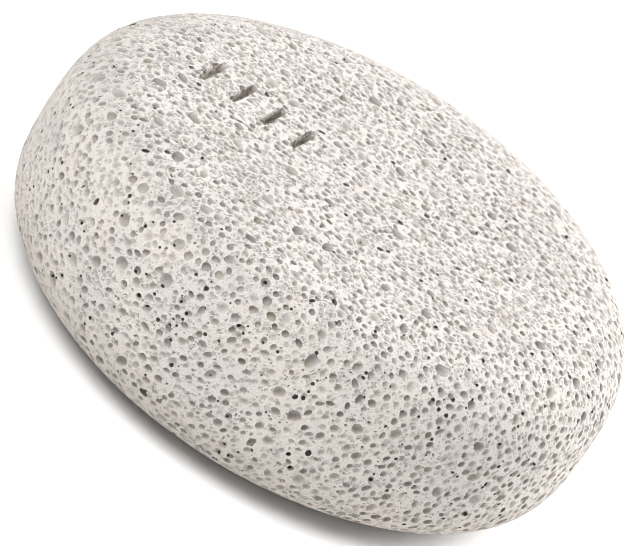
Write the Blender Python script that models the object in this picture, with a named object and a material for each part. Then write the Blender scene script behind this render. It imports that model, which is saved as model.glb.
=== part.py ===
# Pumice stone: one solid block of foamed lava, oval from above, with a flat top and base,
# a steep side wall and softly rolled edges.  Burst bubbles pit it all over; the widest of
# them are cut here, with a row of four plain slots pressed into the top.
# The long way of the oval runs along X, the short height along Z, and it rests on Z = 0.
import bisect
import math
import random

import bmesh
import bpy
from mathutils import Matrix, Vector, noise

# ---- the block, in metres --------------------------------------------------------------
HALF_LENGTH = 0.04825
HALF_WIDTH = 0.04365
HALF_HEIGHT = 0.01723
OUTLINE_POWER = 2.01            # 2 is a true ellipse, more is boxier
WALL_POWER = 6.56               # how far out the top stays flat
EDGE_POWER = 3.17               # how upright the side wall stands
LOBES = ((3, -0.0015, 0.0017), (4, -0.0012, -0.0026), (5, -0.0016, 0.0010))
LEAN = (-0.0216, 0.0242)        # sideways drift per unit of height
OVAL_CENTRE = (-0.00015, -0.00003)
BASE_TRIM = 0.00025             # ground off underneath, so that it stands on a flat
SWELL_HEIGHT = 0.00012          # gentle waves left in the surface
SWELL_SPACING = 0.014
AROUND = 44                     # facets round the oval
UPWARD = 13                     # bands from base to top

# ---- the widest burst bubbles -----------------------------------------------------------
SEED = 11
PIT_COUNT = 440
BOWL_COUNT = 120                # the widest have a round bowl, the rest come to a point
PIT_MOUTH = (0.00255, 0.00140)  # widest and narrowest mouth
PIT_DEPTH = (0.50, 1.15)        # depth over half the mouth
PIT_STRETCH = 0.22              # how far from round a mouth may be
PIT_GAP = 0.00220               # stone left between two mouths
PIT_SIDES = 6
BARE_FOOT = 0.0050              # radius under the middle that is left unpitted

# ---- the row of slots --------------------------------------------------------------------
SLOT_COUNT = 4
SLOT_PITCH = 0.0056
SLOT_LENGTH = 0.0076
SLOT_WIDTH = 0.0015
SLOT_DEPTH = 0.0022
SLOT_ROW = (-0.0205, 0.0070)    # middle of the row
SLOT_ROW_TURN = math.radians(-25.7)
SLOT_TURN = math.radians(57.5)
SLOT_WEAR = 0.00016             # crumbling of the slot edges
SLOT_MARGIN = 0.0009

# ---- how it looks --------------------------------------------------------------------------
STONE_COLOUR = (0.70, 0.66, 0.61, 1.0)
STONE_ROUGHNESS = 0.95


def signed_power(value, power):
    return math.copysign(abs(value) ** power, value)


def stone_point(turn, ring, rise):
    """Place on the unpitted stone: turn runs round it, ring is 1 at the wall and 0 at the
    middle, rise is 1 at the top and -1 at the base."""
    east = signed_power(math.cos(turn), 2 / OUTLINE_POWER)
    north = signed_power(math.sin(turn), 2 / OUTLINE_POWER)
    bearing = math.atan2(north, east)
    lobe = 1 + sum(c * math.cos(n * bearing) + s * math.sin(n * bearing) for n, c, s in LOBES)
    z = HALF_HEIGHT * rise
    x = HALF_LENGTH * ring * east * lobe + LEAN[0] * z - OVAL_CENTRE[0]
    y = HALF_WIDTH * ring * north * lobe + LEAN[1] * z - OVAL_CENTRE[1]
    return Vector((x, y, z + HALF_HEIGHT - BASE_TRIM))


def stone_normal(turn, ring, rise):
    """Which way the surface faces there."""
    if HALF_HEIGHT * (1 + rise) < BASE_TRIM:
        return Vector((0, 0, -1))
    outward = WALL_POWER * ring ** (WALL_POWER - 1)
    east = signed_power(math.cos(turn), 2 - 2 / OUTLINE_POWER)
    north = signed_power(math.sin(turn), 2 - 2 / OUTLINE_POWER)
    upward = EDGE_POWER * signed_power(rise, EDGE_POWER - 1)
    return Vector((outward * east / HALF_LENGTH, outward * north / HALF_WIDTH,
                   upward / HALF_HEIGHT)).normalized()


def weather(place, facing):
    """Push a surface place in or out by the gentle waves, and trim the base flat."""
    wave = noise.noise(place / SWELL_SPACING) * SWELL_HEIGHT
    moved = place + facing * wave
    moved.z = max(moved.z, 0.0) if place.z > BASE_TRIM else 0.0
    return moved


def add_block(collection):
    bpy.ops.mesh.primitive_uv_sphere_add(segments=AROUND, ring_count=UPWARD, radius=1)
    block = bpy.context.object
    block.name = "pumice_stone"
    block.data.name = "pumice_stone"
    for vertex in block.data.vertices:
        tilt = math.asin(max(-1.0, min(1.0, vertex.co.z)))
        turn = math.atan2(vertex.co.y, vertex.co.x)
        ring = max(math.cos(tilt), 0.0) ** (2 / WALL_POWER) if abs(tilt) < 1.57 else 0.0
        rise = signed_power(math.sin(tilt), 2 / EDGE_POWER)
        place = stone_point(turn, ring, rise)
        vertex.co = weather(place, stone_normal(turn, ring, rise))
    put_in(block, collection)
    return block


def surface_strips():
    """Thin level bands from base to top as (ring, rise, area so far), for fair sampling."""
    steps = [k / 100 for k in range(0, 92)]
    lid = [(r, (1 - r ** WALL_POWER) ** (1 / EDGE_POWER)) for r in steps]
    top = lid[-1][1]
    wall = [top * (1 - k / 60) for k in range(1, 61)]
    upper = lid + [((1 - z ** EDGE_POWER) ** (1 / WALL_POWER), z) for z in wall]
    path = [(r, -z) for r, z in upper] + [(r, z) for r, z in reversed(upper[:-1])]
    total, strips = 0.0, []
    for (r0, z0), (r1, z1) in zip(path, path[1:]):
        step = math.hypot((r1 - r0) * HALF_LENGTH, (z1 - z0) * HALF_HEIGHT)
        total += step * (r0 + r1)
        strips.append((r0, z0, r1, z1, total))
    return strips


def random_place(rng, strips):
    """An even random choice over the whole surface."""
    totals = [s[4] for s in strips]
    pick = rng.random() * totals[-1]
    r0, z0, r1, z1, _ = strips[bisect.bisect_left(totals, pick)]
    part = rng.random()
    ring, rise = r0 + (r1 - r0) * part, z0 + (z1 - z0) * part
    turn = rng.random() * math.tau
    place, facing = stone_point(turn, ring, rise), stone_normal(turn, ring, rise)
    return weather(place, facing), facing


def slot_places():
    """Middle of each slot on the top face."""
    along = Vector((math.cos(SLOT_ROW_TURN), math.sin(SLOT_ROW_TURN), 0))
    middle = Vector((SLOT_ROW[0], SLOT_ROW[1], 2 * HALF_HEIGHT - BASE_TRIM))
    return [middle + along * SLOT_PITCH * (k - (SLOT_COUNT - 1) / 2) for k in range(SLOT_COUNT)]


def near_slot(place, reach):
    """True where a mouth of this reach would break into a slot."""
    if place.z < HALF_HEIGHT:
        return False
    run = Vector((math.cos(SLOT_TURN), math.sin(SLOT_TURN), 0))
    side = Vector((-run.y, run.x, 0))
    for middle in slot_places():
        gap = place - middle
        if (abs(gap.dot(run)) < SLOT_LENGTH / 2 + reach + SLOT_MARGIN
                and abs(gap.dot(side)) < SLOT_WIDTH / 2 + reach + SLOT_MARGIN):
            return True
    return False


def wide_pits():
    """The widest pits, widest first, as (place, facing, half mouth, depth, stretch, twist)."""
    rng, strips, pits = random.Random(SEED), surface_strips(), []
    for number in range(PIT_COUNT):
        share = (number / PIT_COUNT) ** 0.55
        half = (PIT_MOUTH[0] + (PIT_MOUTH[1] - PIT_MOUTH[0]) * share) / 2
        depth = half * rng.uniform(*PIT_DEPTH)
        stretch = 1 + rng.uniform(0, PIT_STRETCH)
        twist = rng.uniform(0, math.pi)
        for _ in range(400):
            place, facing = random_place(rng, strips)
            reach = half * stretch
            bare = place.z < HALF_HEIGHT and math.hypot(place.x, place.y) < BARE_FOOT + reach
            if bare or near_slot(place, reach):
                continue
            if all((place - p[0]).length > reach + p[2] * p[4] + PIT_GAP for p in pits):
                pits.append((place, facing, half, depth, stretch, twist))
                break
    return pits


def add_bubbles(pits, collection):
    """One low bubble for each pit, its widest girth just above the surface."""
    mesh = bmesh.new()
    for number, (place, facing, half, depth, stretch, twist) in enumerate(pits):
        lift = half * 0.12
        shape = (Matrix.Translation(place + facing * lift)
                 @ facing.to_track_quat("Z", "Y").to_matrix().to_4x4()
                 @ Matrix.Rotation(twist, 4, "Z")
                 @ Matrix.Diagonal((half * stretch, half / stretch, depth + lift, 1)))
        bands = 4 if number < BOWL_COUNT else 2
        bmesh.ops.create_uvsphere(mesh, u_segments=PIT_SIDES, v_segments=bands, radius=1,
                                  matrix=shape)
    return cutter_from(mesh, "burst_bubbles", collection)


def add_slots(collection):
    """Four equal slots with crumbled edges, sunk from above the top."""
    rng, mesh = random.Random(SEED + 1), bmesh.new()
    for middle in slot_places():
        shape = (Matrix.Translation(middle) @ Matrix.Rotation(SLOT_TURN, 4, "Z")
                 @ Matrix.Diagonal((SLOT_LENGTH, SLOT_WIDTH, SLOT_DEPTH * 2, 1)))
        made = bmesh.ops.create_cube(mesh, size=1, matrix=shape)["verts"]
        edges = list({edge for vertex in made for edge in vertex.link_edges})
        bmesh.ops.subdivide_edges(mesh, edges=edges, cuts=2, use_grid_fill=True)
    for vertex in mesh.verts:
        vertex.co += Vector([rng.uniform(-SLOT_WEAR, SLOT_WEAR) for _ in range(3)])
    return cutter_from(mesh, "slot_punches", collection)


def cutter_from(mesh, name, collection):
    data = bpy.data.meshes.new(name)
    mesh.to_mesh(data)
    mesh.free()
    cutter = bpy.data.objects.new(name, data)
    collection.objects.link(cutter)
    cutter.hide_render = True
    cutter.display_type = "WIRE"
    return cutter


def cut_away(block, cutter):
    cut = block.modifiers.new(cutter.name, "BOOLEAN")
    cut.operation = "DIFFERENCE"
    cut.solver = "EXACT"
    cut.object = cutter


def put_in(thing, collection):
    for holder in list(thing.users_collection):
        holder.objects.unlink(thing)
    collection.objects.link(thing)


def add_collection(name):
    collection = bpy.data.collections.new(name)
    bpy.context.scene.collection.children.link(collection)
    return collection


def pumice_material():
    material = bpy.data.materials.new("pumice")
    material.use_nodes = True
    shader = material.node_tree.nodes["Principled BSDF"]
    shader.inputs["Base Color"].default_value = STONE_COLOUR
    shader.inputs["Roughness"].default_value = STONE_ROUGHNESS
    return material


def build():
    for thing in list(bpy.data.objects):
        bpy.data.objects.remove(thing, do_unlink=True)
    stone, cutters = add_collection("pumice_stone"), add_collection("cutters")
    block = add_block(stone)
    cut_away(block, add_slots(cutters))
    cut_away(block, add_bubbles(wide_pits(), cutters))
    block.data.materials.append(pumice_material())


build()
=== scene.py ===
# %% [markdown]
# # A pumice stone, pit by pit
# The object is one oval block of pumice, a glass foam that cooled as rock.  This lesson
# shapes the block, bursts several thousand bubbles out of its skin, presses a row of
# slots into the top and then gives the stone its chalky finish.
# The first cell reads the solid that the block has to match.

# %% Open the frame and read the solid
import bisect
import math
import random

import bpy
import numpy as np
from mathutils import Matrix, Vector, bvhtree, noise


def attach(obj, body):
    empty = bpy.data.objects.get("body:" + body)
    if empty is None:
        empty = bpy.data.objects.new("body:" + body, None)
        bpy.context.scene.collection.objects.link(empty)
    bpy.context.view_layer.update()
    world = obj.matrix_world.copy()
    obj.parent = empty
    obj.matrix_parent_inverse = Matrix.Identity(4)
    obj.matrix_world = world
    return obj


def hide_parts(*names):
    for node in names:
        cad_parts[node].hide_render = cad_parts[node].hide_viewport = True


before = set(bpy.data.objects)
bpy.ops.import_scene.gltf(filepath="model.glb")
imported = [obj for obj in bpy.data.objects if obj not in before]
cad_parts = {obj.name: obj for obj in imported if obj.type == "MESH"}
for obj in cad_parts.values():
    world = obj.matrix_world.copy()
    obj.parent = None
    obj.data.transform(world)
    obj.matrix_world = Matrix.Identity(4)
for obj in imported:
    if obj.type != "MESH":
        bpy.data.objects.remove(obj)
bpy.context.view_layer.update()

bpy.ops.object.select_all(action="DESELECT")

# %% [markdown]
# ## The block
# Seen from above the block is an oval, nearly as wide as it is long.  Top and base are
# flat, the wall is steep, and the edges between them roll over softly.  One rule gives
# all of that: a super-ellipsoid, which is a sphere whose roundness can be set apart for
# the outline, for the wall and for the edge.  A sphere primitive already has its points
# in rings round the middle, so each ring only has to be slid out to its place.

# %% Sizes of the block, in metres
HALF_LENGTH = 0.04825
HALF_WIDTH = 0.04365
HALF_HEIGHT = 0.01723
OUTLINE_POWER = 2.01
WALL_POWER = 6.56
EDGE_POWER = 3.17
LOBES = ((3, -0.0015, 0.0017), (4, -0.0012, -0.0026), (5, -0.0016, 0.0010))
LEAN = (-0.0216, 0.0242)
OVAL_CENTRE = (-0.00015, -0.00003)
BASE_TRIM = 0.00025
SWELL_HEIGHT = 0.00012
SWELL_SPACING = 0.014
TALL = 2 * HALF_HEIGHT - BASE_TRIM
print("block, mm:", HALF_LENGTH * 2000, HALF_WIDTH * 2000, round(TALL * 1000, 2))


# %% The rule of the block
def signed_power(value, power):
    return math.copysign(abs(value) ** power, value)


def stone_point(turn, ring, rise):
    """A place on the unpitted stone.  turn runs round it, ring is 1 at the wall and 0 in
    the middle, rise is 1 at the top and -1 at the base."""
    east = signed_power(math.cos(turn), 2 / OUTLINE_POWER)
    north = signed_power(math.sin(turn), 2 / OUTLINE_POWER)
    bearing = math.atan2(north, east)
    lobe = 1 + sum(c * math.cos(n * bearing) + s * math.sin(n * bearing) for n, c, s in LOBES)
    z = HALF_HEIGHT * rise
    x = HALF_LENGTH * ring * east * lobe + LEAN[0] * z - OVAL_CENTRE[0]
    y = HALF_WIDTH * ring * north * lobe + LEAN[1] * z - OVAL_CENTRE[1]
    return Vector((x, y, z + HALF_HEIGHT - BASE_TRIM))


def stone_normal(turn, ring, rise):
    if HALF_HEIGHT * (1 + rise) < BASE_TRIM:
        return Vector((0, 0, -1))
    outward = WALL_POWER * ring ** (WALL_POWER - 1)
    east = signed_power(math.cos(turn), 2 - 2 / OUTLINE_POWER)
    north = signed_power(math.sin(turn), 2 - 2 / OUTLINE_POWER)
    upward = EDGE_POWER * signed_power(rise, EDGE_POWER - 1)
    return Vector((outward * east / HALF_LENGTH, outward * north / HALF_WIDTH,
                   upward / HALF_HEIGHT)).normalized()


def weather(place, facing):
    """Gentle waves in the skin, and the base trimmed flat."""
    moved = place + facing * noise.noise(place / SWELL_SPACING) * SWELL_HEIGHT
    moved.z = max(moved.z, 0.0) if place.z > BASE_TRIM else 0.0
    return moved


print("middle of the top, mm:", [round(v * 1000, 2) for v in stone_point(0, 0, 1)])

# %% Shape the block from a sphere
BLOCK_SIDES, BLOCK_RINGS = 72, 28
POLE = 1.57
bpy.ops.mesh.primitive_uv_sphere_add(segments=BLOCK_SIDES, ring_count=BLOCK_RINGS, radius=1)
stone = bpy.context.object
stone.name = "pitted_stone"
for vertex in stone.data.vertices:
    tilt = math.asin(max(-1.0, min(1.0, vertex.co.z)))
    turn = math.atan2(vertex.co.y, vertex.co.x)
    ring = max(math.cos(tilt), 0.0) ** (2 / WALL_POWER) if abs(tilt) < POLE else 0.0
    rise = signed_power(math.sin(tilt), 2 / EDGE_POWER)
    vertex.co = weather(stone_point(turn, ring, rise), stone_normal(turn, ring, rise))
stone.data.update()
skin = bvhtree.BVHTree.FromPolygons([v.co for v in stone.data.vertices],
                                    [p.vertices for p in stone.data.polygons])
print("block:", len(stone.data.polygons), "faces")

# %% [markdown]
# ## Where the bubbles burst
# Sawing or tumbling a block of pumice opens every bubble that the new skin crosses.  The
# mouths are of many sizes, sit where chance put them, and crowd on the flat top more
# than on the wall.  Chance is drawn from a seeded generator, so the stone comes out the
# same each time.  To spread the mouths fairly, the surface is cut into thin level bands
# and a band is drawn by its area.

# %% Fair random places on the skin
LID_PARTS, LID_BANDS, WALL_BANDS = 100, 92, 60


def surface_strips():
    """Thin level bands from base to top as (ring, rise, ring, rise, area so far)."""
    steps = [k / LID_PARTS for k in range(LID_BANDS)]
    lid = [(r, (1 - r ** WALL_POWER) ** (1 / EDGE_POWER)) for r in steps]
    top = lid[-1][1]
    wall = [top * (1 - k / WALL_BANDS) for k in range(1, WALL_BANDS + 1)]
    upper = lid + [((1 - z ** EDGE_POWER) ** (1 / WALL_POWER), z) for z in wall]
    path = [(r, -z) for r, z in upper] + [(r, z) for r, z in reversed(upper[:-1])]
    total, strips = 0.0, []
    for (r0, z0), (r1, z1) in zip(path, path[1:]):
        step = math.hypot((r1 - r0) * HALF_LENGTH, (z1 - z0) * HALF_HEIGHT)
        total += step * (r0 + r1)
        strips.append((r0, z0, r1, z1, total))
    return strips


STRIPS = surface_strips()
STRIP_TOTALS = [s[4] for s in STRIPS]


def random_place(rng):
    pick = rng.random() * STRIP_TOTALS[-1]
    r0, z0, r1, z1, _ = STRIPS[bisect.bisect_left(STRIP_TOTALS, pick)]
    part = rng.random()
    ring, rise = r0 + (r1 - r0) * part, z0 + (z1 - z0) * part
    turn = rng.random() * math.tau
    place, facing = stone_point(turn, ring, rise), stone_normal(turn, ring, rise)
    return weather(place, facing), facing


print("bands:", len(STRIPS))

# %% [markdown]
# ## The row of slots
# Near one end the top carries a short row of deep, narrow slots, pressed in while the
# block was made.  Here they are four equal plain slots at an even pitch.  Their places
# are needed first, because no bubble mouth may be set on top of them.

# %% Places of the slots
SLOT_COUNT = 4
SLOT_PITCH = 0.0056
SLOT_LENGTH = 0.0076
SLOT_WIDTH = 0.0015
SLOT_DEPTH = 0.0022
SLOT_ROW = (-0.0205, 0.0070)
SLOT_ROW_TURN = math.radians(-25.7)
SLOT_TURN = math.radians(57.5)
SLOT_MARGIN = 0.0009


def slot_places():
    along = Vector((math.cos(SLOT_ROW_TURN), math.sin(SLOT_ROW_TURN), 0))
    middle = Vector((SLOT_ROW[0], SLOT_ROW[1], TALL))
    return [middle + along * SLOT_PITCH * (k - (SLOT_COUNT - 1) / 2) for k in range(SLOT_COUNT)]


SLOT_RUN = Vector((math.cos(SLOT_TURN), math.sin(SLOT_TURN), 0))
SLOT_SIDE = Vector((-SLOT_RUN.y, SLOT_RUN.x, 0))


def near_slot(place, reach, margin=SLOT_MARGIN):
    """True where a mouth of this reach would break into a slot."""
    if place.z < HALF_HEIGHT:
        return False
    for middle in slot_places():
        gap = place - middle
        if (abs(gap.dot(SLOT_RUN)) < SLOT_LENGTH / 2 + reach + margin
                and abs(gap.dot(SLOT_SIDE)) < SLOT_WIDTH / 2 + reach + margin):
            return True
    return False


print("slots, mm:", [[round(v * 1000, 1) for v in p] for p in slot_places()])

# %% [markdown]
# ## Wide mouths first, small ones between them
# The widest mouths are those that the solid has too, so they follow the solid's rule and
# seed.  The small ones then fill the gaps, the larger of them first.  On the top they may
# just overlap, as open foam does; on the wall a thin rib stays between them.  Now and
# then one is a narrow, deep hole.

# %% The widest mouths, as in the solid
PIT_SEED = 11
PIT_COUNT = 440
PIT_MOUTH = (0.00255, 0.00140)
PIT_DEPTH = (0.50, 1.15)
PIT_STRETCH = 0.22
PIT_GAP = 0.00220
PIT_TRIES = 400
WIDE_FIRST = 0.55
BARE_FOOT = 0.0050


def wide_pits():
    """Widest first, as (place, facing, half mouth, depth, stretch, twist)."""
    rng, pits = random.Random(PIT_SEED), []
    for number in range(PIT_COUNT):
        share = (number / PIT_COUNT) ** WIDE_FIRST
        half = (PIT_MOUTH[0] + (PIT_MOUTH[1] - PIT_MOUTH[0]) * share) / 2
        depth = half * rng.uniform(*PIT_DEPTH)
        stretch = 1 + rng.uniform(0, PIT_STRETCH)
        twist = rng.uniform(0, math.pi)
        for _ in range(PIT_TRIES):
            place, facing = random_place(rng)
            reach = half * stretch
            bare = place.z < HALF_HEIGHT and math.hypot(place.x, place.y) < BARE_FOOT + reach
            if bare or near_slot(place, reach):
                continue
            if all((place - p[0]).length > reach + p[2] * p[4] + PIT_GAP for p in pits):
                pits.append((place, facing, half, depth, stretch, twist))
                break
    return pits


pits = wide_pits()
print("wide mouths:", len(pits))

# %% Room between the mouths
CELL = 0.0024
near = {}


def cell_of(place):
    return tuple(int(v // CELL) for v in place)


def crowded(place, reach, gap):
    i, j, k = cell_of(place)
    for a in (i - 1, i, i + 1):
        for b in (j - 1, j, j + 1):
            for c in (k - 1, k, k + 1):
                for other in near.get((a, b, c), ()):
                    if (other[0] - place).length < reach + other[2] + gap:
                        return True
    return False


for pit in pits:
    near.setdefault(cell_of(pit[0]), []).append(pit)
print("cells in use:", len(near))

# %% The smaller mouths between them
SMALL_COUNT = 7400
SMALL_MOUTH = (0.00152, 0.00072)
SMALL_FIRST = 1.1
SMALL_TRIES = 60
HOLE_CHANCE = (0.02, 0.07)
HOLE_DEPTH, BOWL_DEPTH = (1.7, 2.5), (0.55, 1.20)
HOLE_STRETCH, BOWL_STRETCH = 0.45, 0.28
TOP_FROM, WALL_FROM = 1.80 * HALF_HEIGHT, 0.12 * HALF_HEIGHT
TOP_SHARE, WALL_SHARE, BASE_SHARE = 1.0, 0.85, 0.15
TOP_SIZE, TOP_GAP, WALL_GAP = 0.88, -0.05, 0.04


def share_here(place):
    """How readily a mouth is kept: most on the top, least on the base."""
    if place.z > TOP_FROM:
        return TOP_SHARE
    return WALL_SHARE if place.z > WALL_FROM else BASE_SHARE


rng = random.Random(23)
for number in range(SMALL_COUNT):
    share = number / SMALL_COUNT
    half = (SMALL_MOUTH[1] + (SMALL_MOUTH[0] - SMALL_MOUTH[1]) * (1 - share) ** SMALL_FIRST) / 2
    half *= rng.uniform(0.94, 1.06)
    deep = rng.random()
    hole = deep < HOLE_CHANCE[0 if share < 0.5 else 1]
    depth = half * rng.uniform(*(HOLE_DEPTH if hole else BOWL_DEPTH))
    stretch = 1 + (HOLE_STRETCH if hole else BOWL_STRETCH) * rng.random() ** 2
    twist = rng.uniform(0, math.pi)
    for _ in range(SMALL_TRIES):
        place, facing = random_place(rng)
        keep = share_here(place)
        if near_slot(place, 0.0, 0.0) or rng.random() > keep:
            continue
        size, gap = (TOP_SIZE, TOP_GAP) if keep == TOP_SHARE else (1.0, WALL_GAP)
        if not crowded(place, half * size, gap * half):
            pit = (place, facing, half * size, depth * size, stretch, twist)
            pits.append(pit)
            near.setdefault(cell_of(place), []).append(pit)
            break
print("all mouths:", len(pits))

# %% [markdown]
# ## Cutting the bubbles out
# Each pit is what a ball leaves where it dips into the block.  Half the mouth m and the
# depth d fix the ball: the angle from its lowest point to the mouth is 2 atan(d / m).  A
# low sphere is made once for each grade of size, and every bubble is a copy of it whose
# rings are slid up or down the ball, so that the last ring stands just proud of the skin.
# A shallow dish and a deep hole then cost the same few faces.  Some pits also break
# through into a dark bubble behind them, which is one more ball in the pit's floor.
# Bubbles that touch can't be cut together, so they are dealt into passes in which none
# touch, and each pass is one Boolean.

# %% A low sphere for each grade of bubble
def low_sphere(sides, rings):
    """Ring number and turn of each point, and the faces, of a sphere made once."""
    bpy.ops.mesh.primitive_uv_sphere_add(segments=sides, ring_count=rings + 1, radius=1)
    ball = bpy.context.object
    co = np.array([v.co for v in ball.data.vertices])
    faces = [tuple(p.vertices) for p in ball.data.polygons]
    level = np.rint(np.arccos(np.clip(-co[:, 2], -1, 1)) / math.pi * (rings + 1))
    turn = np.arctan2(co[:, 1], co[:, 0])
    spoke = np.rint(turn / math.tau * sides).astype(int) % sides
    bpy.data.objects.remove(ball)
    return level, turn, spoke, faces, rings


GRADES = [(0.00070, low_sphere(12, 3)), (0.00050, low_sphere(8, 2)), (0.0, low_sphere(7, 1))]


def grade_of(half):
    return next(ball for least, ball in GRADES if half >= least)


print("faces a bubble:", [len(ball[3]) for _, ball in GRADES])


# %% Slide a low sphere into a bubble
LIP_PAST, LIP_MOST = 1.12, 0.93
UNEVEN = 0.05


class Bubble:
    """A burst bubble: mouth place, facing, half mouth, depth, stretch and twist."""

    def __init__(self, place, facing, half, depth, stretch, twist):
        self.place, self.facing, self.half, self.depth = place, facing, half, depth
        self.angle = 2 * math.atan2(depth, half)
        self.radius = half / math.sin(self.angle)
        self.centre = place + facing * (self.radius - depth)
        turned = facing.to_track_quat("Z", "Y").to_matrix() @ Matrix.Rotation(twist, 3, "Z")
        self.axes = np.array(turned @ Matrix.Diagonal((stretch, 1 / stretch, 1)))
        wide = half * stretch
        if self.angle > math.pi / 2:
            self.hub, self.reach = self.centre, self.radius * stretch * 1.03
        else:
            self.hub, self.reach = place, max(wide * 1.16, depth * 1.06)

    def points(self, ball, rng):
        level, turn, spoke, _, rings = ball
        lip = min(self.angle * LIP_PAST + 0.03, math.pi * LIP_MOST)
        angle = lip * np.minimum(level, rings) / rings
        across = self.radius * np.sin(angle)
        up = self.radius * (1 - np.cos(angle)) - self.depth
        crown = level > rings
        across[crown] = 0
        up[crown] += self.half * 0.3
        uneven = 1 + rng.uniform(-UNEVEN, UNEVEN, 16)[spoke]
        local = np.stack([across * np.cos(turn) * uneven, across * np.sin(turn) * uneven, up], 1)
        return local @ self.axes.T + np.array(self.place)


bubbles = [Bubble(*pit) for pit in pits]
print("steepest and shallowest:", round(max(b.angle for b in bubbles), 2),
      round(min(b.angle for b in bubbles), 2))


# %% Windows into deeper bubbles
WINDOW_CHANCE = 0.12
WINDOW_HOST = 0.00045
WINDOW_TILT, WINDOW_SIZE = (0.15, 0.75), (0.38, 0.62)


def windows(hosts, rng):
    """Small balls that break through the floor of a pit into the dark behind it."""
    found = []
    for host in hosts:
        if host.half < WINDOW_HOST or rng.random() > WINDOW_CHANCE:
            continue
        side = rng.uniform(0, math.tau)
        tilt = rng.uniform(*WINDOW_TILT) * host.angle
        ball = Vector((math.sin(tilt) * math.cos(side), math.sin(tilt) * math.sin(side),
                       -math.cos(tilt)))
        down = host.facing.to_track_quat("Z", "Y").to_matrix() @ ball
        size = host.half * rng.uniform(*WINDOW_SIZE)
        spot = host.centre + down * host.radius
        mouth, depth = size * 0.62, size * 1.75
        found.append(Bubble(spot, -down, mouth, depth, 1.0, 0.0))
    return found


windowed = windows(bubbles, random.Random(31))
print("windows:", len(windowed))


# %% Deal the bubbles into passes that don't touch
def deal(group, step=0.0030):
    """Lists of bubbles, no two of one list touching."""
    passes = []
    for bubble in sorted(group, key=lambda b: -b.reach):
        i, j, k = (int(v // step) for v in bubble.hub)
        for held, grid in passes:
            if not any((o.hub - bubble.hub).length < o.reach + bubble.reach
                       for a in (i - 1, i, i + 1) for b in (j - 1, j, j + 1)
                       for c in (k - 1, k, k + 1) for o in grid.get((a, b, c), ())):
                break
        else:
            held, grid = [], {}
            passes.append((held, grid))
        held.append(bubble)
        grid.setdefault((i, j, k), []).append(bubble)
    return [held for held, _ in passes]


passes = deal(bubbles) + deal(windowed)
print("passes:", [len(p) for p in passes])


# %% Cut one pass after another
def cutter(name, group, first_id, rng, step=1):
    """One mesh of separate bubbles; each face remembers its bubble's number."""
    points, faces, marks, start = [], [], [], 0
    for number, bubble in enumerate(group):
        ball = grade_of(bubble.half)
        points.append(bubble.points(ball, rng))
        faces += [[v + start for v in face] for face in ball[3]]
        marks.append(np.full(len(ball[3]), first_id + number * step))
        start += len(ball[0])
    mesh = bpy.data.meshes.new(name)
    mesh.from_pydata(np.concatenate(points).tolist(), [], faces)
    mark = mesh.attributes.new("bubble", "INT", "FACE")
    mark.data.foreach_set("value", np.concatenate(marks).astype(np.int32))
    thing = bpy.data.objects.new(name, mesh)
    bpy.context.collection.objects.link(thing)
    return thing


def cut_away(body, tool, solver="MANIFOLD"):
    bpy.ops.object.select_all(action="DESELECT")
    bpy.context.view_layer.objects.active = body
    body.select_set(True)
    bpy.ops.object.modifier_add(type="BOOLEAN")
    cut = body.modifiers[-1]
    cut.operation, cut.solver, cut.object = "DIFFERENCE", solver, tool
    bpy.ops.object.modifier_apply(modifier=cut.name)
    bpy.data.objects.remove(tool)


rough = np.random.default_rng(47)
numbered = []
for turn_number, group in enumerate(passes):
    cut_away(stone, cutter("bubbles_%d" % turn_number, group, len(numbered) + 1, rough))
    numbered += group
    print("pass", turn_number, "leaves", len(stone.data.polygons), "faces")

# %% [markdown]
# ## Pressing the slots
# A slot is a cuboid sunk into the top.  Its walls crumbled along the foam, so the punch
# is subdivided and its points are pushed about before it is used.

# %% Press the slots
CRUMBLE = ((0.0009, 0.00026), (0.0004, 0.00010))
CRUMBLE_SEED = 7
noise.seed_set(CRUMBLE_SEED)


def slot_punch(middle):
    bpy.ops.mesh.primitive_cube_add(size=1)
    punch = bpy.context.object
    bpy.ops.object.mode_set(mode="EDIT")
    bpy.ops.mesh.select_all(action="SELECT")
    bpy.ops.mesh.subdivide(number_cuts=5)
    bpy.ops.object.mode_set(mode="OBJECT")
    place = Matrix.Translation(middle) @ Matrix.Rotation(SLOT_TURN, 4, "Z")
    size = Vector((SLOT_LENGTH, SLOT_WIDTH, SLOT_DEPTH * 2))
    for vertex in punch.data.vertices:
        part = vertex.co.copy()
        ends = 1 - 0.35 * (2 * abs(part.x)) ** 6
        sunk = 1 - 0.25 * (2 * abs(part.z)) ** 2
        shaped = Vector((part.x * size.x, part.y * size.y * ends * sunk, part.z * size.z))
        spot = place @ shaped
        coarse, fine = (noise.noise_vector(spot / spacing) * height for spacing, height in CRUMBLE)
        vertex.co = spot + coarse + fine
    bpy.ops.object.mode_set(mode="EDIT")
    bpy.ops.mesh.select_all(action="SELECT")
    bpy.ops.mesh.quads_convert_to_tris()
    bpy.ops.object.mode_set(mode="OBJECT")
    mark = punch.data.attributes.new("bubble", "INT", "FACE")
    mark.data.foreach_set("value", np.full(len(punch.data.polygons), -1, np.int32))
    return punch


for middle in slot_places():
    cut_away(stone, slot_punch(middle))
print("after the slots:", len(stone.data.polygons), "faces")


# %% Bubbles broken open inside the slots
SLOT_BUBBLES = 44
SLOT_BUBBLE_HALF = (0.00024, 0.00060)
FLOOR_SHARE = 0.25


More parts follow.
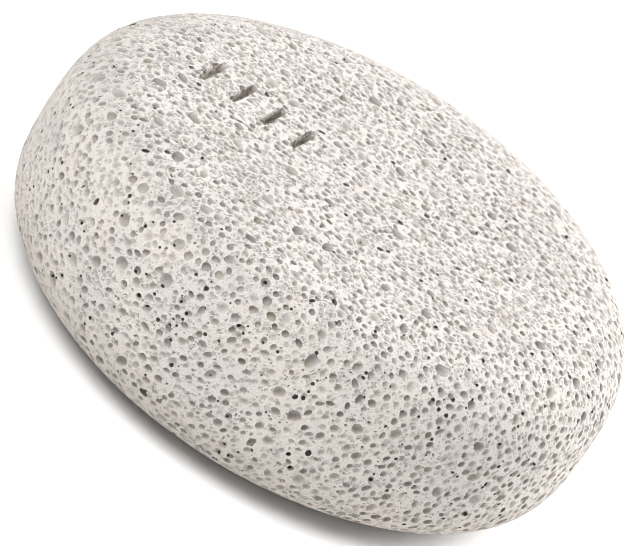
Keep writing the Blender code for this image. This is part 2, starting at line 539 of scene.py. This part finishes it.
def slot_bubbles(rng):
    """Most open in a slot's two walls, the rest in its floor."""
    found = []
    for middle in slot_places():
        for _ in range(SLOT_BUBBLES):
            side = rng.choice((-1, 1))
            run, drop = rng.uniform(-0.52, 0.52), rng.uniform(0.0, 1.0)
            if rng.random() < FLOOR_SHARE:
                facing, out, drop = Vector((0, 0, 1)), rng.uniform(-0.6, 0.6), 0.97
            else:
                facing, out = -SLOT_SIDE * side + Vector((0, 0, 0.5 * (1 - drop))), side * 0.95
            spot = (middle + SLOT_RUN * SLOT_LENGTH * run + SLOT_SIDE * SLOT_WIDTH / 2 * out
                    - Vector((0, 0, SLOT_DEPTH * drop)))
            half = rng.uniform(*SLOT_BUBBLE_HALF)
            depth = half * rng.uniform(0.7, 1.3)
            found.append(Bubble(spot, facing.normalized(), half, depth, 1, 0))
    return found


in_slots = deal(slot_bubbles(rng))
for number, group in enumerate(in_slots):
    cut_away(stone, cutter("slot_bubbles_%d" % number, group, -2 - 1000 * number, rough, -1))
print("slot bubbles:", [len(group) for group in in_slots])

# %% [markdown]
# ## A clean, light mesh
# Where several bubbles meet they can cut a tiny chip free, and a chip that hangs in the
# air has to go: the loose parts are separated and only the largest, the block, is kept.
# Rims are marked sharp before the mesh is thinned, because they carry the look, and what
# the thinning crushed to a line is dissolved.

# %% Drop the loose chips
bpy.ops.object.select_all(action="DESELECT")
stone.select_set(True)
bpy.context.view_layer.objects.active = stone
bpy.ops.mesh.separate(type="LOOSE")
loose = sorted(bpy.context.selected_objects, key=lambda part: len(part.data.polygons))
stone = loose.pop()
for chip in loose:
    bpy.data.objects.remove(chip)
stone.name = "pitted_stone"
print("chips dropped:", len(loose))

# %% Thin the mesh and smooth it
MOST_TRIANGLES = 197000
FLAT, ROUND = math.radians(0.4), math.radians(72)
CRUSHED = 1e-6


def triangles(mesh):
    return sum(len(p.vertices) - 2 for p in mesh.polygons)


def apply(kind, **settings):
    """Add one modifier to the stone and apply it at once."""
    bpy.ops.object.modifier_add(type=kind)
    for key, value in settings.items():
        setattr(stone.modifiers[-1], key, value)
    bpy.ops.object.modifier_apply(modifier=stone.modifiers[-1].name)


def crisp_rims(mesh):
    """Sharp edges wherever two bubbles, or a bubble and the skin, meet."""
    edge, mark = np.zeros(len(mesh.loops), np.int32), np.zeros(len(mesh.polygons), np.int32)
    sides = np.zeros(len(mesh.polygons), np.int32)
    mesh.loops.foreach_get("edge_index", edge)
    mesh.polygons.foreach_get("loop_total", sides)
    mesh.attributes["bubble"].data.foreach_get("value", mark)
    mark = np.repeat(mark, sides)
    low, high = np.full(len(mesh.edges), 10 ** 6), np.full(len(mesh.edges), -10 ** 6)
    np.minimum.at(low, edge, mark)
    np.maximum.at(high, edge, mark)
    sharp = np.zeros(len(mesh.edges), bool)
    mesh.edges.foreach_get("use_edge_sharp", sharp)
    mesh.edges.foreach_set("use_edge_sharp", sharp | (low != high))


bpy.ops.object.select_all(action="DESELECT")
stone.select_set(True)
bpy.context.view_layer.objects.active = stone
counts = [triangles(stone.data)]
crisp_rims(stone.data)
apply("DECIMATE", decimate_type="DISSOLVE", angle_limit=FLAT, delimit={"SHARP"})
apply("TRIANGULATE")
counts.append(triangles(stone.data))
if counts[-1] > MOST_TRIANGLES:
    apply("DECIMATE", ratio=MOST_TRIANGLES / counts[-1])
    counts.append(triangles(stone.data))
for vertex in stone.data.vertices:
    vertex.co.z = max(vertex.co.z, 0.0)
bpy.ops.object.mode_set(mode="EDIT")
bpy.ops.mesh.select_all(action="SELECT")
bpy.ops.mesh.dissolve_degenerate(threshold=CRUSHED)
bpy.ops.mesh.quads_convert_to_tris()
bpy.ops.object.mode_set(mode="OBJECT")
counts.append(triangles(stone.data))
bpy.ops.object.shade_smooth_by_angle(angle=ROUND)
crisp_rims(stone.data)
print("triangles:", counts)

# %% [markdown]
# ## How hollow each corner is
# Inside a pit the light bounces about and the stone looks greyer; in the deep holes it
# is nearly black, and the finish paints this in as painted shade.  Each face corner gets
# four numbers that the finish can read: hollow, its depth below the old skin in
# millimetres; burst, 1 on a broken wall and 0 on the skin; tone, which chance draws for
# each bubble and which sets how much painted shade it gets; and slot, 1 in a slot.  A wide
# mouth lets more light in, so there depth and tone count less.  The numbers are kept by
# corner and not by point, so that the rim stays crisp.

# %% Measure the hollows
NARROW = 0.0006
TONE_SEED = 5
mesh = stone.data
corner_vertex = np.zeros(len(mesh.loops), np.int32)
mesh.loops.foreach_get("vertex_index", corner_vertex)
corner_face = np.repeat(np.arange(len(mesh.polygons)), 3)
face_mark = np.zeros(len(mesh.polygons), np.int32)
mesh.attributes["bubble"].data.foreach_get("value", face_mark)
depth_of = np.array([skin.find_nearest(v.co)[3] for v in mesh.vertices])
half_of = np.array([0.0] + [bubble.half for bubble in numbered])
shut_in = np.minimum(1.0, NARROW / np.maximum(half_of, NARROW / 10))
bubble_here = np.maximum(face_mark[corner_face], 0)
hollow = depth_of[corner_vertex] * 1000 * shut_in[bubble_here]
burst = (face_mark[corner_face] != 0).astype(float)
slot = (face_mark[corner_face] < 0).astype(float)
tones = np.random.default_rng(TONE_SEED).random(len(numbered) + 2)
tone = tones[bubble_here] * shut_in[bubble_here]
for name, values in (("hollow", hollow), ("burst", burst), ("tone", tone), ("slot", slot)):
    layer = mesh.attributes.new(name, "FLOAT", "CORNER")
    layer.data.foreach_set("value", values.astype(np.float32))
print("deepest, mm:", round(float(hollow.max()), 2), "burst share:", round(float(burst.mean()), 2))

# %% [markdown]
# ## A flat map of the skin
# The finish can be painted into one square picture, so the stone needs a map without
# tears or crushed parts.  The top and the base are laid out as they lie, the wall is
# unrolled in three lengths, and each pit is opened out evenly inside its mouth: a place on
# a ball's wall goes as far from the middle of the mouth as its angle says.

# %% Open the pits out flat
PAST_MOUTH = 1.15


def corner_points(mesh):
    co = np.zeros(len(mesh.vertices) * 3)
    mesh.vertices.foreach_get("co", co)
    return co.reshape(-1, 3)[corner_vertex]


def opened(points, marks, group, first):
    """Points on bubble walls moved to where they lie when the pit is opened out."""
    inside = (marks >= first) & (marks < first + len(group))
    which = marks[inside] - first
    place = np.array([b.place for b in group])[which]
    centre = np.array([b.centre for b in group])[which]
    facing = np.array([b.facing for b in group])[which]
    half = np.array([b.half for b in group])[which]
    mouth = np.array([b.angle for b in group])[which]
    arm = points[inside] - centre
    up = (arm * facing).sum(1)
    flat = arm - facing * up[:, None]
    across = np.maximum(np.linalg.norm(flat, axis=1), 1e-9)
    share = np.clip(np.arctan2(across, -up) / mouth, 0, PAST_MOUTH)
    moved = points.copy()
    moved[inside] = place + flat / across[:, None] * (half * share)[:, None]
    return moved


marks = face_mark[corner_face]
first_windows = len(bubbles) + 1
flat_points = corner_points(mesh)
flat_points = opened(flat_points, marks, numbered[len(bubbles):], first_windows)
flat_points = opened(flat_points, marks, numbered[:len(bubbles)], 1)
print("corners laid flat:", len(flat_points))

# %% Lay out top, base and wall
SHEET = 0.188
EDGE_BAND = 0.0048
WALL_LENGTH, WALL_STRIP, WALL_FOOT = 0.289, 0.029, 0.005
LEFT, TOP_LOW, BASE_LOW = 0.0495, 0.0450, 0.1350
WALL_LEFT, WALL_LOW = 0.1035, 0.0010
face_middle = flat_points.reshape(-1, 3, 3).mean(1)
level_up = np.repeat(face_middle[:, 2], 3)
turn_face = np.arctan2(face_middle[:, 1] / HALF_WIDTH, face_middle[:, 0] / HALF_LENGTH)
turn_corner = np.arctan2(flat_points[:, 1] / HALF_WIDTH, flat_points[:, 0] / HALF_LENGTH)
turn_middle = np.repeat(turn_face, 3)
turn_corner = turn_middle + (turn_corner - turn_middle + math.pi) % math.tau - math.pi
third = np.floor((turn_middle + math.pi) / math.tau * 3).clip(0, 2)
along = (turn_corner + math.pi) / math.tau * WALL_LENGTH - third * WALL_LENGTH / 3
u_wall = WALL_LEFT + third * WALL_STRIP + flat_points[:, 2] - WALL_FOOT
is_top, is_base = level_up > TALL - EDGE_BAND, level_up < EDGE_BAND
u = np.where(is_top | is_base, flat_points[:, 0] + LEFT, u_wall)
v = np.where(is_top, flat_points[:, 1] + TOP_LOW,
             np.where(is_base, flat_points[:, 1] + BASE_LOW, along + WALL_LOW))
layer = mesh.uv_layers.get("OFBake") or mesh.uv_layers.new(name="OFBake")
layer.data.foreach_set("uv", (np.stack([u, v], 1) / SHEET).astype(np.float32).ravel())
for other in [m.name for m in mesh.uv_layers if m.name != "OFBake"]:
    mesh.uv_layers.remove(mesh.uv_layers[other])
print("map spans:", round(float(u.min() / SHEET), 3), "to", round(float(u.max() / SHEET), 3),
      "and", round(float(v.min() / SHEET), 3), "to", round(float(v.max() / SHEET), 3))

# %% [markdown]
# ## The finish
# Pumice is chalk white to warm grey.  The skin is dull, with a fine grain and pores too
# small to model.  The top is painted lighter than the wall, partly a cooler tint and
# partly painted light, and between the modelled mouths some cells of the foam itself lie
# open, darkened inside with painted shade so that their thin walls look bright; on the
# wall there are more black holes, pores painted black as shade.  Pit walls get painted
# shade, a different amount for each, and what lies deep is painted brown to black shade.
# A few patches are faintly pink or faintly green, and the colour is darker and browner
# towards the foot.
# The sums are written as Python expressions by way of a small class that holds a socket.
# All patterns read the stone's own coordinates in metres, so they stay put on it.

# %% Sums on sockets
class Wire:
    """A shader socket that can stand in a sum; node() makes any other node."""

    def __init__(self, tree, socket):
        self.tree, self.socket = tree, socket

    def node(self, kind, settings=None, sockets=None, out=0):
        made = self.tree.nodes.new(kind)
        for key, value in (settings or {}).items():
            setattr(made, key, value)
        for key, value in (sockets or {}).items():
            if isinstance(value, Wire):
                self.tree.links.new(value.socket, made.inputs[key])
            else:
                made.inputs[key].default_value = value
        return Wire(self.tree, made.outputs[out])

    def sum(self, operation, a, b):
        return self.node("ShaderNodeMath", {"operation": operation}, {0: a, 1: b})

    def __add__(self, other):
        return self.sum("ADD", self, other)

    def __radd__(self, other):
        return self.sum("ADD", other, self)

    def __sub__(self, other):
        return self.sum("SUBTRACT", self, other)

    def __rsub__(self, other):
        return self.sum("SUBTRACT", other, self)

    def __mul__(self, other):
        return self.sum("MULTIPLY", self, other)

    def __rmul__(self, other):
        return self.sum("MULTIPLY", other, self)

    def ramp(self, low, high):
        """0 below low, 1 above high, smooth between."""
        return self.node("ShaderNodeMapRange", {"interpolation_type": "SMOOTHSTEP"},
                         {"Value": self, "From Min": low, "From Max": high})

    def blend(self, colour_at_0, colour_at_1):
        return self.node("ShaderNodeMix", {"data_type": "RGBA"},
                         {0: self, 6: colour_at_0, 7: colour_at_1}, 2)

    def other(self, name):
        """Another output of the same node."""
        return Wire(self.tree, self.socket.node.outputs[name])


print("sums ready")

# %% A material for the stone
finish = bpy.data.materials.new("pumice")
finish.use_nodes = True
tree = finish.node_tree
shader = tree.nodes["Principled BSDF"]
start = Wire(tree, None)
where = start.node("ShaderNodeTexCoord", out=3)
height_up = start.node("ShaderNodeSeparateXYZ", None, {"Vector": where}).other("Z")
print("material:", finish.name)


# %% Patterns to draw from
def read(name):
    return start.node("ShaderNodeAttribute", {"attribute_name": name}, out=2)


def cloud(spacing, detail=2.0, shift=0.0):
    """Soft random patches about spacing metres across, 0 to 1."""
    moved = start.node("ShaderNodeVectorMath", {"operation": "ADD"},
                       {0: where, 1: (shift, shift * 0.7, -shift)})
    return start.node("ShaderNodeTexNoise", None,
                      {"Vector": moved, "Scale": 1 / spacing, "Detail": detail})


def pores(spacing, least, most, shift, often):
    """Small balls of air cut open by the skin, in a share of the cells as often says.
    Returns how far inside a ball a place is, 0 to 1, and how deep in metres."""
    moved = start.node("ShaderNodeVectorMath", {"operation": "ADD"},
                       {0: where, 1: (shift, -shift, shift * 0.6)})
    cells = moved.node("ShaderNodeTexVoronoi", None, {"Vector": moved, "Scale": 1 / spacing})
    chance = start.node("ShaderNodeSeparateColor", None, {"Color": cells.other("Color")})
    picked = chance.other("Green")
    size = (chance * (most - least) + least) * (1 / spacing)
    inside = 1 - cells.sum("DIVIDE", cells, size)
    wall = moved.node("ShaderNodeTexVoronoi", {"feature": "DISTANCE_TO_EDGE"},
                      {"Vector": moved, "Scale": 1 / spacing})
    inside = inside.sum("MINIMUM", inside, (wall - 0.03) * 3.0)
    inside = inside.sum("MAXIMUM", inside, 0.0) * picked.sum("LESS_THAN", picked, often)
    return inside, inside * (2 - inside) * size * (spacing * 0.75)


print("patterns ready")

# %% [markdown]
# ## Pores, foam and colour
# Four sizes of pore are scattered by chance: wide dents, fine and tiny pores, and black
# holes, which the wall has more of.  The top also shows cells of the foam, some of them
# open.  Colours are then laid over each other: the clean or dusty skin, lighter on the top
# partly as painted light, darker and browner at its foot, tinted patches and grain, and on
# top of these painted shade in pits, foam cells, pores and slots, down to black.

# %% What is open at a place
FOAM = 0.00088
burst, hollow, tone, slot = read("burst"), read("hollow"), read("tone"), read("slot")
bubble = burst * (1 - slot)
on_skin = 1 - bubble * 0.85
lid = height_up.ramp(0.028, 0.034)
wide, wide_bowl = pores(0.00100, 0.00032, 0.00058, 0.0031, 0.95)
fine, fine_bowl = pores(0.00050, 0.00010, 0.00022, 0.0057, 0.36 + lid * 0.12)
tiny, tiny_bowl = pores(0.00028, 0.00004, 0.00011, 0.0073, 0.34 + lid * 0.16)
black, black_bowl = pores(0.00160, 0.00014, 0.00040, 0.0113, 0.55 - lid * 0.47)
edges = start.node("ShaderNodeTexVoronoi", {"feature": "DISTANCE_TO_EDGE"},
                   {"Vector": where, "Scale": 1 / FOAM})
cells = start.node("ShaderNodeTexVoronoi", None, {"Vector": where, "Scale": 1 / FOAM}, 1)
cell_tone = start.node("ShaderNodeSeparateColor", None, {"Color": cells}).other("Blue")
open_cell = cell_tone.ramp(0.34, 0.42) * lid * (1 - burst)
foam = edges.ramp(0.05, 0.20) * open_cell
foam_bowl = edges.ramp(0.03, 0.40) * open_cell * 0.00030
print("nodes for pores and foam:", len(tree.nodes))

# %% Colours, as red, green, blue and 1
# The top colours are lighter than the wall's: partly a cooler tint, partly painted light.
CLEAN_WALL, CLEAN_TOP_LIT = (0.626, 0.582, 0.544, 1), (0.674, 0.632, 0.604, 1)
DUSTY_WALL, DUSTY_TOP_LIT = (0.588, 0.550, 0.524, 1), (0.622, 0.581, 0.555, 1)
FOOT_BROWN, GRAIN = (0.500, 0.452, 0.392, 1), (0.36, 0.335, 0.31, 1)
PINKISH, GREENISH = (0.614, 0.538, 0.505, 1), (0.54, 0.54, 0.475, 1)
PIT_SHADE_GREY, PIT_SHADE_KHAKI = (0.265, 0.245, 0.227, 1), (0.285, 0.259, 0.196, 1)
FOAM_SHADE, DENT_SHADE = (0.305, 0.284, 0.265, 1), (0.300, 0.278, 0.258, 1)
PORE_SHADE, SLOT_SHADE_KHAKI = (0.235, 0.218, 0.202, 1), (0.330, 0.285, 0.205, 1)
DEEP_SHADE, BLACK_SHADE = (0.18, 0.165, 0.15, 1), (0.030, 0.026, 0.022, 1)
print("clean top:", CLEAN_TOP_LIT[:3])

# %% Colour of the skin
pink, green = cloud(0.0042, 2.0, 0.05), cloud(0.0030, 2.0, 0.09)
speck = cloud(0.00024, 1.0, 0.13).ramp(0.30, 0.70)
foot = 1 - height_up.ramp(0.005, 0.016)
clean, dusty = lid.blend(CLEAN_WALL, CLEAN_TOP_LIT), lid.blend(DUSTY_WALL, DUSTY_TOP_LIT)
colour = cloud(0.011, 3.0, 0.02).ramp(0.35, 0.65).blend(dusty, clean)
# Darker and browner towards the foot.
colour = (foot * 0.42).blend(colour, FOOT_BROWN)
colour = (pink.ramp(0.60, 0.72) * 0.45).blend(colour, PINKISH)
colour = (green.ramp(0.63, 0.73) * 0.50).blend(colour, GREENISH)
colour = ((1 - speck) * 0.20).blend(colour, GRAIN)
print("nodes with the skin:", len(tree.nodes))

# %% Painted shade in pits, foam, pores and slots
# Painted shade in the pits: greyer with depth, a random amount for each bubble, more on the top,
# khaki in places.
shade = 0.06 + tone * tone * 0.42 + hollow.ramp(0.0, 0.42) * (0.52 + lid * 0.32)
small_pore_shade = fine.sum("MAXIMUM", fine, tiny).ramp(0.0, 0.4)
colour = (bubble * shade).blend(colour, green.ramp(0.57, 0.66).blend(PIT_SHADE_GREY, PIT_SHADE_KHAKI))
# Painted shade inside the open foam cells, so their thin walls look bright.
colour = (foam * (0.30 + cell_tone * 0.55)).blend(colour, FOAM_SHADE)
# Painted shade in pores too small to model: wide dents, then fine and tiny pores.
colour = (wide.ramp(0.0, 0.75) * on_skin * (0.62 - lid * 0.42)).blend(colour, DENT_SHADE)
colour = (small_pore_shade * on_skin * 0.70).blend(colour, PORE_SHADE)
# Painted shade: deep corners of pits turn brown, then black.
colour = (hollow.ramp(0.55, 1.9) * bubble * 0.8).blend(colour, DEEP_SHADE)
colour = (hollow.ramp(1.15, 2.3) * bubble).blend(colour, BLACK_SHADE)
# Painted shade in the slots, darker with depth, tinted khaki.
colour = (hollow.ramp(0.0, 2.0) * slot * 0.50).blend(colour, SLOT_SHADE_KHAKI)
# Painted shade: the black holes are pores painted black inside.
colour = (black.ramp(0.0, 0.25) * 0.96).blend(colour, BLACK_SHADE)
tree.links.new(colour.socket, shader.inputs["Base Color"])
print("nodes with the pits:", len(tree.nodes))

# %% [markdown]
# ## Relief
# What is too small for the mesh still catches the light.  Crumbs of two sizes roughen
# everything, a bubble's glassy wall less than the skin, and pores and foam are sunk in by
# their own depth.  All heights are in metres, so the bump needs no scale of its own.

# %% Relief and dullness
crumbs = cloud(0.00026, 2.0) * 0.00034 + cloud(0.0008, 2.0, 0.01) * 0.00022
pore_bowls = (wide_bowl * (1 - lid * 0.7) + fine_bowl + tiny_bowl) * on_skin
height = crumbs * (1 - bubble * 0.55) - pore_bowls - foam_bowl - black_bowl
relief = start.node("ShaderNodeBump", None, {"Strength": 0.9, "Distance": 1.0, "Height": height})
tree.links.new(relief.socket, shader.inputs["Normal"])
shader.inputs["Roughness"].default_value = 0.95
shader.inputs["Specular IOR Level"].default_value = 0.25
stone.data.materials.clear()
stone.data.materials.append(finish)
print("finish:", len(tree.nodes), "nodes")

# %% [markdown]
# ## The studio
# A pale floor, an even white surround and three lit discs.  The strongest stands low
# behind the stone on the right and rakes over the top, which makes the rims of the pits
# stand out; a weaker one high at the front left opens up the wall, and the weakest fills
# from above.  The lens is long and stands about 30 degrees above the top of the stone,
# rolled so that the long way of the oval runs down to the right.  A narrow pixel filter
# keeps mouths of four or five pixels crisp.

# %% Floor
FLOOR_SIZE = 6
FLOOR_WHITE = (0.95, 0.95, 0.95, 1)
bpy.ops.object.select_all(action="DESELECT")
bpy.ops.mesh.primitive_plane_add(size=FLOOR_SIZE)
floor = bpy.context.object
floor.name = "floor"
paper = bpy.data.materials.new("pale_floor")
paper.use_nodes = True
paper_shader = paper.node_tree.nodes["Principled BSDF"]
paper_shader.inputs["Base Color"].default_value = FLOOR_WHITE
paper_shader.inputs["Roughness"].default_value = 0.9
floor.data.materials.append(paper)
print("floor laid")

# %% Camera
AZIMUTH, ELEVATION, ROLL = (math.radians(v) for v in (-19.88, 29.67, 34.75))
DISTANCE = 1.1802
PIXEL = 0.00014891
PICTURE_WIDTH = 640
MOVE_RIGHT, MOVE_UP = -2.54 * PIXEL, -2.32 * PIXEL
SENSOR = 36
back = Vector((math.sin(AZIMUTH) * math.cos(ELEVATION),
               -math.cos(AZIMUTH) * math.cos(ELEVATION), math.sin(ELEVATION)))
level = Vector((math.cos(AZIMUTH), math.sin(AZIMUTH), 0))
upright = back.cross(level)
picture_right = level * math.cos(ROLL) + upright * math.sin(ROLL)
picture_up = upright * math.cos(ROLL) - level * math.sin(ROLL)
middle = Vector((-OVAL_CENTRE[0], -OVAL_CENTRE[1], HALF_HEIGHT - BASE_TRIM))
spot = middle + back * DISTANCE + picture_right * MOVE_RIGHT + picture_up * MOVE_UP
bpy.ops.object.camera_add()
camera = bpy.context.object
camera.matrix_world = Matrix.Translation(spot) @ Matrix(
    (picture_right, picture_up, back)).transposed().to_4x4()
camera.data.sensor_width = SENSOR
camera.data.lens = SENSOR * DISTANCE / PIXEL / PICTURE_WIDTH
camera.data.clip_end = 10
bpy.context.scene.camera = camera
print("lens, mm:", round(camera.data.lens, 1))

# %% Lights
LAMP_SIZE, LAMP_DISTANCE = 0.55, 0.9
SURROUND = 0.45
PIXEL_FILTER = 0.8


def soft_light(name, round_from_back, height, power):
    """A lit disc aimed at the stone; angles in degrees, 0 is behind and 90 is right."""
    turn, lift = math.radians(round_from_back), math.radians(height)
    away = Vector((-level.y, level.x, 0))
    direction = ((away * math.cos(turn) + level * math.sin(turn)) * math.cos(lift)
                 + Vector((0, 0, math.sin(lift))))
    bpy.ops.object.light_add(type="AREA")
    lamp = bpy.context.object
    lamp.name = name
    lamp.data.shape = "DISK"
    lamp.data.size, lamp.data.energy = LAMP_SIZE, power
    lamp.location = Vector((0, 0, HALF_HEIGHT)) + direction * LAMP_DISTANCE
    lamp.rotation_euler = direction.to_track_quat("Z", "Y").to_euler()


soft_light("behind_right", 45, 25, 12.0)
soft_light("front_left", 225, 50, 7.3)
soft_light("above", 150, 70, 1.8)
world = bpy.data.worlds.new("surround")
bpy.context.scene.world = world
world.use_nodes = True
world.node_tree.nodes["Background"].inputs["Color"].default_value = (1, 1, 1, 1)
world.node_tree.nodes["Background"].inputs["Strength"].default_value = SURROUND
bpy.context.scene.view_settings.view_transform = "Standard"
bpy.context.scene.cycles.filter_width = PIXEL_FILTER
print("lights set")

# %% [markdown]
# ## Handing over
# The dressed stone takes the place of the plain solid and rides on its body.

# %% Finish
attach(stone, "root")
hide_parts("pumice_stone")
bpy.context.view_layer.update()
